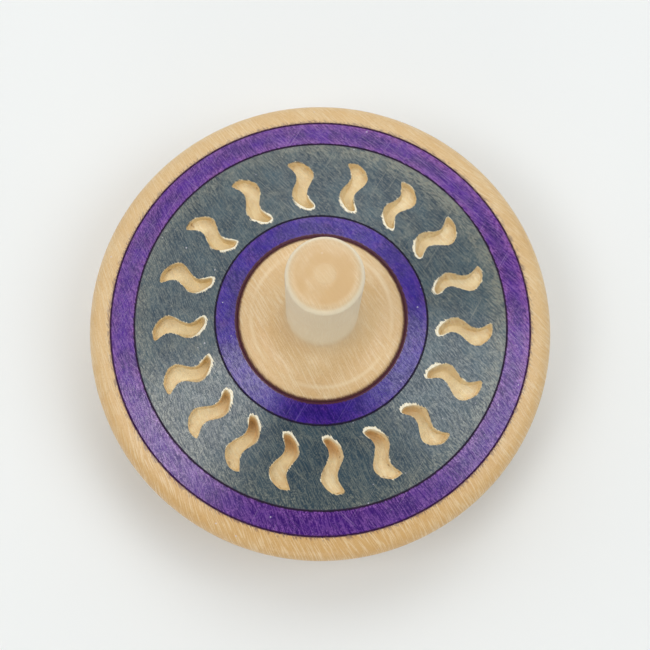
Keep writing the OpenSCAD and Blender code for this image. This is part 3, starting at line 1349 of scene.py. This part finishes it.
@dataclass(frozen=True)
class DyedWood(WoodFinish):
    """Maple dyed in bands on the upper face, and cut through to bare wood by the pockets.

    Attributes:
        wood: The bare wood.
        lip: Colour of the torn fibres round the pockets.
        cut: Colour of the fresh wood in the pockets, lightened to offset the shade in them, so partly
            painted light.
        deep_fill_light: Painted light: a lighter colour laid where a pocket is deep, to offset the shade
            there.
        inner_end_shade: Painted shade: orange-brown laid on the floors at the pockets' inner ends, on the
            side away from the back lights.
        wall_shade: Painted shade: darker brown laid in patches on the pockets' walls.
        lip_shadow: Painted shadow: near-black laid in patches just under a pocket's lip.
        rubbed_side: Direction of the side where the slate is worn most.
        scratch_angles: Angles of the sanding scratches, in degrees.
        dust: The dust on it.
        torn_end: Where the pockets' torn inner ends fade out, past the inner scored line.
        inner_end_shade_reach: Where that painted shade fades out, past that line.
        top_depth: Depths under the face between which its finish gives way to bare wood.
        line_edge: How far the edge of a scored line fades to each side.
        border_slip: How far the borders and lines slip along the fibres.
    """

    wood: BareWood
    lip: Colour = srgb(252, 244, 220)
    cut: Colour = srgb(238, 218, 174)
    # Painted light in the deep pockets.
    deep_fill_light: Colour = srgb(250, 232, 188)
    # Painted shade at the pockets' inner ends.
    inner_end_shade: Colour = srgb(210, 152, 70)
    # Painted shade on the pockets' walls.
    wall_shade: Colour = srgb(160, 116, 66)
    # Painted shadow under the pockets' lips.
    lip_shadow: Colour = srgb(60, 58, 56)
    rubbed_side: Point3 = (0.77, 0.64, 0.0)
    scratch_angles: Point2 = (38.0, -64.0)
    dust: Dust = Dust(1.5, 0.16, 0.6, srgb(220, 214, 226))
    torn_end: Point2 = (3.6, 2.0)
    inner_end_shade_reach: Point2 = (4.85, 3.05)
    top_depth: Point2 = (5.0, 4.6)
    line_edge: float = 0.07
    border_slip: float = 0.36

    def dyes(self) -> list[Dye]:
        """Return the three bands of dye, from the rim inwards."""
        s = self.sizes
        return [
            Dye(s.slate_line_r, s.rim_line_r, srgb(48, 0, 102), srgb(74, 8, 142),
                srgb(152, 80, 146), 1.6, 0.55, 0.5, srgb(140, 86, 174), 0.38, srgb(190, 160, 204)),
            Dye(s.inner_line_r, s.slate_line_r, srgb(40, 60, 74), srgb(64, 86, 96),
                srgb(146, 140, 120), 3.4, 0.02, 0.6, srgb(126, 132, 122), 0.34, srgb(170, 168, 150)),
            Dye(s.hub_r, s.inner_line_r, srgb(30, 0, 106), srgb(46, 0, 146),
                srgb(124, 56, 136), 1.1, 0.2, 0.36, srgb(86, 36, 164), 0.2, srgb(150, 124, 196)),
        ]

    def lines(self) -> list[ScoredLine]:
        """Return the scored lines and the joint round the hub, from the rim inwards."""
        s = self.sizes
        return [
            ScoredLine(s.rim_line_r, 0.24, srgb(64, 28, 76), 0.75),
            ScoredLine(s.slate_line_r, 0.3, srgb(50, 34, 62)),
            ScoredLine(s.inner_line_r, 0.28, srgb(44, 36, 60)),
            ScoredLine(s.hub_r + s.groove / 2, 0.58, srgb(80, 36, 50)),
        ]

    def disc_spot(self, graph: Graph) -> DiscSpot:
        """Return the spot that a graph shades, with what the disc adds to it."""
        s = self.sizes
        spot = self.wood_spot(graph)
        slip = graph.math("SUBTRACT", spot.hairs, 0.5)
        face_z = graph.scaled(spot.radius, -math.tan(math.radians(s.face_slope)), s.face_z(0.0))
        scratches = [graph.use(self.shared.scratches, place=spot.place, angle=math.radians(angle))[0]
                     for angle in self.scratch_angles]
        far, near = (s.inner_line_r + past for past in self.torn_end)
        return DiscSpot(
            **vars(spot),
            slip=slip,
            ragged=graph.scaled(slip, self.border_slip, spot.radius),
            lip=graph.node("ShaderNodeAttribute", attribute_name=LIP_LAYER).outputs["Fac"],
            depth=graph.math("SUBTRACT", face_z, spot.height),
            patch=graph.noise(spot.place, 0.35, 3.0),
            scratch=graph.math("MAXIMUM", *scratches),
            inner_end=graph.fade(spot.radius, far, near))

    def bands(self, graph: Graph, spot: DiscSpot) -> Socket:
        """Return the colour of the upper face: the bands of dye, laid on the bare wood."""
        streaky = graph.fade(spot.hairs, 0.36, 0.62, 0.25, 1.0)
        faded = graph.product(graph.fade(graph.noise(spot.place, 0.5, 3.0), 0.34, 0.6, 0.3, 1.3), streaky)
        towards = graph.measure("DOT_PRODUCT", spot.place, self.rubbed_side)
        # Wear: the dye's outer borders are rubbed more towards rubbed_side.
        wear_and_highlight = graph.fade(towards, 6.0, 24.0, 0.8, 1.9)
        worn = graph.product(graph.fade(graph.noise(spot.place, 0.42), 0.54, 0.7, 0.0, 0.3), streaky)
        grain = graph.fade(graph.noise(spot.place, 6.5, 1.0), 0.38, 0.62, 0.0, 0.4)
        # Painted shade: the dye is laid deeper towards the side away from the back lights.
        side_shade_dye = graph.product(spot.heart, 0.7)
        flecks = graph.product(spot.speckle, graph.fade(spot.hairs, 0.36, 0.62))
        took_less = graph.fade(spot.patch, 0.35, 0.68)
        colour = self.wood.colour(graph, spot)
        for dye in self.dyes():
            band, inside, outside = graph.use(self.shared.band, radius=spot.ragged, inner=dye.inner,
                                              outer=dye.outer, reach=dye.reach)
            border = graph.math("MAXIMUM", graph.product(inside, dye.inner_border),
                                graph.product(outside, dye.outer_border, wear_and_highlight))
            border = graph.math("MAXIMUM", graph.product(border, faded), worn)
            dyed = graph.lay(took_less, dye.deep, dye.thin)
            dyed = graph.lay(border, dyed, dye.border)
            dyed = graph.lay(grain, dyed, dye.deep)
            dyed = graph.lay(side_shade_dye, dyed, dye.deep)
            dyed = graph.lay(graph.product(flecks, graph.scaled(border, 1.1, 0.42)), dyed, dye.ray)
            dyed = graph.lay(graph.product(spot.rays, dye.ray_share), dyed, dye.ray)
            dyed = graph.lay(graph.product(spot.scratch, 0.24), dyed, dye.scratch)
            colour = graph.lay(band, colour, dyed)
        return colour

    def scored(self, graph: Graph, spot: DiscSpot, under: Input) -> Socket:
        """Return a colour with the scored lines on it."""
        colour = under
        for mark in self.lines():
            off = graph.math("ABSOLUTE", graph.math("SUBTRACT", spot.ragged, mark.radius))
            half = mark.width / 2
            shade = graph.fade(off, half + self.line_edge, half - self.line_edge, 0.0, 0.94)
            colour = graph.lay(shade, colour, mark.colour)
            if mark.bleed:
                out = graph.math("SUBTRACT", spot.radius, mark.radius)
                reach = graph.fade(spot.hairs, 0.35, 0.7, 0.0, mark.bleed)
                hair = graph.fade(out, graph.math("ADD", reach, 0.15), graph.product(reach, 0.3))
                outside = graph.fade(out, -0.1, 0.0, 0.0, 0.55)
                colour = graph.lay(graph.product(hair, outside), colour, mark.colour)
        return colour

    def cut_wood(self, graph: Graph, spot: DiscSpot) -> Socket:
        """Return the colour of the wood that a pocket lays bare, with painted shade and painted light in
        it.
        """
        cut = graph.lay(graph.product(spot.rays, 0.35), self.cut, self.lip)
        blotch = graph.fade(graph.noise(spot.place, 1.1, 3.0), 0.35, 0.7, 0.0, 0.35)
        cut = graph.lay(blotch, cut, self.wood.warm)
        # Painted light: the deeper floors are lightened to offset the shade in them.
        deep = graph.product(graph.fade(spot.depth, 1.3, 2.8), graph.fade(spot.patch, 0.2, 0.6, 0.5, 0.9))
        cut = graph.lay(deep, cut, self.deep_fill_light)
        # Painted shade: the floors at the inner ends of pockets on the side away from the back lights are
        # browned, where their walls shade them.
        far, near = (self.sizes.inner_line_r + past for past in self.inner_end_shade_reach)
        inner_end_shade_mask = graph.product(spot.heart, graph.fade(spot.radius, far, near, 0.0, 0.9),
                             graph.fade(spot.lip, -0.8, -1.3))
        cut = graph.lay(inner_end_shade_mask, cut, self.inner_end_shade)
        torn = graph.fade(graph.noise(spot.place, 0.3), 0.42, 0.58, 0.2, 0.8)
        torn = graph.product(graph.math("MAXIMUM", torn, spot.inner_end),
                             graph.fade(spot.speckle, 0.0, 0.6, 0.55, 1.0))
        fringe = graph.fade(spot.lip, graph.scaled(spot.inner_end, -0.7, -0.45), 0.0)
        cut = graph.lay(graph.product(fringe, torn), cut, self.lip)
        # Painted shade: darker brown patches on the walls, between the lip and the floor.
        wall_shade_mask = graph.product(graph.fade(graph.noise(spot.place, 1.4, 3.0), 0.58, 0.72, 0.0, 0.6),
                                graph.fade(spot.lip, -1.9, -1.5), graph.fade(spot.lip, -0.05, -0.3))
        cut = graph.lay(wall_shade_mask, cut, self.wall_shade)
        # Painted shadow: near-black patches on the wall just under the lip, except where fibres are torn.
        lip_shadow_mask = graph.product(graph.fade(graph.noise(spot.place, 0.8), 0.54, 0.62, 0.0, 0.75),
                                graph.fade(spot.lip, -0.42, -0.12), graph.fade(torn, 0.65, 0.35))
        return graph.lay(lip_shadow_mask, cut, self.lip_shadow)

    def bare(self, graph: Graph, spot: DiscSpot) -> Socket:
        """Return 1 where a pocket lays the wood bare, to an edge frayed by the fibres."""
        frayed = graph.scaled(graph.noise(spot.place, 1.0), 0.5, -0.2)
        frayed = graph.scaled(spot.slip, 0.6, frayed)
        frayed = graph.scaled(spot.inner_end, 0.34, frayed)
        return graph.fade(spot.lip, frayed, graph.math("SUBTRACT", frayed, 0.14))

    def coat(self, graph: Graph, spot: DiscSpot, bare: Input, on_top: Input) -> Socket:
        """Weight of the wax, which the pores break up.

        Args:
            graph: Graph that takes the nodes.
            spot: The spot.
            bare: 1 in the pockets.
            on_top: 1 on the upper face.

        Returns:
            The weight.
        """
        rim_r = self.sizes.rim_line_r
        waxed = graph.product(graph.fade(spot.radius, rim_r + 0.1, rim_r - 0.1), on_top)
        broken = graph.scaled(spot.speckle, 0.3, graph.fade(spot.hairs, 0.36, 0.64, 0.35, 0.85))
        return graph.product(graph.scaled(waxed, 0.62, 0.38), broken,
                             graph.fade(bare, 0.0, 1.0, 1.0, 0.15))

    def relief(self, graph: Graph, spot: DiscSpot, bare: Input, on_top: Input) -> Socket:
        """Height of the fine relief: rays, pores, scratches, gouge marks, and rings underneath.

        Args:
            graph: Graph that takes the nodes.
            spot: The spot.
            bare: 1 in the pockets.
            on_top: 1 on the upper face.

        Returns:
            The height, in millimetres.
        """
        height = graph.scaled(spot.speckle, 0.01, graph.product(spot.rays, 0.014))
        height = graph.scaled(spot.scratch, -0.02, height)
        gouged = graph.product(graph.noise(spot.place, 3.0, 3.0), bare)
        height = graph.scaled(gouged, 0.12, height)
        rings = graph.noise(graph.combine(spot.radius, 0.0, 0.0), 2.4)
        return graph.scaled(rings, graph.fade(on_top, 0.0, 1.0, 0.05, 0.0), height)

    def material(self, name: str) -> bpy.types.Material:
        """Build the material of the disc."""
        material, graph, shader = self.start(name, Gloss(0.9, 0.24, 0.12, 1.62))
        spot = self.disc_spot(graph)
        bare = self.bare(graph, spot)
        on_top = graph.fade(spot.depth, *self.top_depth)
        colour = self.scored(graph, spot, self.bands(graph, spot))
        colour = self.dusted(graph, spot, colour, self.dust)
        colour = graph.lay(bare, colour, self.cut_wood(graph, spot))
        colour = graph.lay(on_top, self.wood.colour(graph, spot), colour)
        graph.feed(shader.inputs["Base Color"], colour)
        graph.feed(shader.inputs["Coat Weight"], self.coat(graph, spot, bare, on_top))
        rough = graph.scaled(bare, 0.2, graph.fade(spot.patch, 0.3, 0.7, 0.36, 0.5))
        graph.feed(shader.inputs["Roughness"], rough)
        self.bump(graph, shader, self.relief(graph, spot, bare, on_top))
        return material


@dataclass(frozen=True)
class TurnedSteel(Finish):
    """Bright steel with fine turning marks, a little dull where it spins.

    Attributes:
        shared: The shared node groups.
        sizes: Sizes of the top.
        clean: Colour of the clean steel.
        worn: Colour of the worn steel.
        scratch_angle: Angle of its scratches, in radians.
    """

    shared: Shared
    sizes: Sizes
    clean: Colour = srgb(196, 198, 202)
    worn: Colour = srgb(150, 148, 146)
    scratch_angle: float = 0.7

    def material(self, name: str) -> bpy.types.Material:
        """Build the material of the tip."""
        material, graph, shader = self.start(name, Gloss(0.0, 0.3))
        shader.inputs["Metallic"].default_value = 1.0
        spot = self.spot(graph)
        rings = graph.noise(graph.combine(spot.radius, spot.height, 0.0), 9.0)
        worn = graph.product(graph.fade(spot.radius, self.sizes.shank_r, 0.2),
                             graph.noise(spot.place, 4.0, 3.0))
        scratch, = graph.use(self.shared.scratches, place=spot.place, angle=self.scratch_angle)
        colour = graph.lay(graph.math("ADD", worn, 0.15), self.clean, self.worn)
        colour = graph.lay(graph.product(scratch, 0.5), colour, self.clean)
        graph.feed(shader.inputs["Base Color"], colour)
        graph.feed(shader.inputs["Roughness"], graph.fade(rings, 0.3, 0.7, 0.18, 0.36))
        self.bump(graph, shader, graph.product(rings, 0.01))
        return material


@dataclass(frozen=True)
class Softbox:
    """One square soft light that faces the top. Lengths are in metres.

    Attributes:
        name: Its name.
        place: Its place.
        side: Its side.
        power: Its power, in watts.
        colour: Its colour.
    """

    name: str
    place: Point3
    side: float
    power: float
    colour: Colour

    def hang(self, target: Vector) -> None:
        """Hang the light so that it faces a target."""
        lamp = bpy.data.lights.new(self.name, "AREA")
        lamp.size = self.side
        lamp.energy = self.power
        lamp.color = self.colour[:3]
        hung = bpy.data.objects.new(self.name, lamp)
        turn = (target - Vector(self.place)).to_track_quat("-Z", "Y").to_matrix().to_4x4()
        hung.matrix_world = Matrix.Translation(self.place) @ turn
        bpy.context.scene.collection.objects.link(hung)


SOFTBOXES = (
    Softbox("back_softbox", (0.0, 0.84, 0.8), 1.4, 3.0, srgb(250, 251, 252)),
    Softbox("key_softbox", (0.02, 0.54, 0.9), 0.5, 1.8, srgb(250, 251, 252)),
    Softbox("left_softbox", (-0.46, -0.24, 0.93), 0.45, 2.75, srgb(252, 251, 250)),
    Softbox("side_softbox", (-0.78, 0.24, 0.76), 0.7, 1.2, srgb(246, 249, 255)),
    Softbox("right_softbox", (0.58, -0.04, 0.92), 0.6, 3.1, srgb(243, 249, 255)),
    Softbox("front_fill", (0.0, -0.8, 0.18), 0.32, 1.0, srgb(255, 248, 232)),
)


@dataclass
class Studio:
    """The floor, the soft lights, a dark card and the camera. Lengths are in metres.

    Attributes:
        sizes: Sizes of the top.
        floor_r: Radius of the floor.
        floor_colour: Colour of the floor.
        sky: Colour of the light that comes from all round.
        sky_strength: Strength of that light.
        seen_strength: Strength with which the camera sees it past the floor.
        flag_place: Place of the dark card.
        flag_side: Side of the dark card.
        flag_colour: Colour of the dark card.
        tilt: Tilt of the camera from straight down, in degrees.
        lean: Lean of the camera to one side, in degrees.
        turn: Turn of the camera round the spin axis, in degrees.
        distance: Distance of the camera from the middle of the face's rim.
        aside: How far the camera stands to one side.
        lens: Focal length of the camera, in millimetres.
        sensor_w: Width of the camera's sensor, in millimetres.
    """

    sizes: Sizes
    floor_r: float = 1.6
    floor_colour: Colour = srgb(242, 243, 241)
    sky: Colour = srgb(250, 252, 253)
    sky_strength: float = 0.34
    seen_strength: float = 0.82
    flag_place: Point3 = (0.0, -0.44, 0.85)
    flag_side: float = 0.46
    flag_colour: Colour = srgb(20, 20, 20)
    tilt: float = 10.32
    lean: float = 5.5
    turn: float = -0.85
    distance: float = 0.2135
    aside: float = 0.00057
    lens: float = 84.7
    sensor_w: float = 36.0

    def stage_sheet(self, name: str, bm: bmesh.types.BMesh, colour: Colour) -> None:
        """Stage a dull sheet that isn't part of the top.

        Args:
            name: Name of the sheet and of its material.
            bm: Its shape.
            colour: Its colour.
        """
        mesh = bpy.data.meshes.new(name)
        bm.to_mesh(mesh)
        bm.free()
        material = bpy.data.materials.new(name)
        material.use_nodes = True
        shader = material.node_tree.nodes["Principled BSDF"]
        shader.inputs["Base Color"].default_value = colour
        shader.inputs["Roughness"].default_value = 0.9
        shader.inputs["Specular IOR Level"].default_value = 0.1
        mesh.materials.append(material)
        sheet = bpy.data.objects.new(name, mesh)
        bpy.context.scene.collection.objects.link(sheet)

    def floor(self) -> None:
        """Lay a wide pale floor under the tip."""
        bm = bmesh.new()
        bmesh.ops.create_circle(bm, cap_ends=True, segments=96, radius=self.floor_r)
        self.stage_sheet("paper_floor", bm, self.floor_colour)

    def flag(self) -> None:
        """Hang a dark card over the front, where a light tent has its opening."""
        bm = bmesh.new()
        bmesh.ops.create_grid(bm, x_segments=1, y_segments=1, size=self.flag_side / 2)
        bmesh.ops.translate(bm, vec=self.flag_place, verts=bm.verts[:])
        self.stage_sheet("dark_flag", bm, self.flag_colour)

    def lights(self) -> None:
        """Set the light from all round, and hang the soft lights."""
        world = bpy.data.worlds.new("light_tent")
        world.use_nodes = True
        background = world.node_tree.nodes["Background"]
        background.inputs["Color"].default_value = self.sky
        graph = Graph(world.node_tree)
        seen = graph.node("ShaderNodeLightPath").outputs["Is Camera Ray"]
        strength = graph.fade(seen, 0.0, 1.0, self.sky_strength, self.seen_strength)
        graph.feed(background.inputs["Strength"], strength)
        bpy.context.scene.world = world
        for softbox in SOFTBOXES:
            softbox.hang(Vector((0, 0, self.sizes.face_z(0) * MM)))

    def camera(self) -> None:
        """Set the camera: nearly overhead, a little to the front and leaned to one side."""
        data = bpy.data.cameras.new("camera")
        data.lens = self.lens
        data.sensor_width = self.sensor_w
        data.clip_start = 0.01
        camera = bpy.data.objects.new("camera", data)
        place = Matrix.Translation((0, 0, self.sizes.face_z(self.sizes.rim_line_r) * MM))
        for angle, axis in ((self.turn, "Z"), (self.tilt, "X"), (self.lean, "Z")):
            place @= Matrix.Rotation(math.radians(angle), 4, axis)
        camera.matrix_world = place @ Matrix.Translation((self.aside, 0, self.distance))
        bpy.context.scene.collection.objects.link(camera)
        bpy.context.scene.camera = camera

    def build(self) -> None:
        """Set the whole studio up."""
        bpy.context.scene.view_settings.view_transform = "Standard"
        self.floor()
        self.lights()
        self.flag()
        self.camera()


def main() -> None:
    """Build the studio and the top."""
    logging.basicConfig(level=logging.INFO, format="%(name)s: %(message)s")
    sizes = Sizes.from_frame()
    shared = Shared()
    bare = BareWood(shared, sizes)
    Studio(sizes).build()
    for part in (Disc(sizes, DyedWood(shared, sizes, bare)), Spindle(sizes, bare),
                 Tip(sizes, TurnedSteel(shared, sizes))):
        piece = part.build()
        LOG.info("built %s", piece.name)


if __name__ == "__main__":
    main()
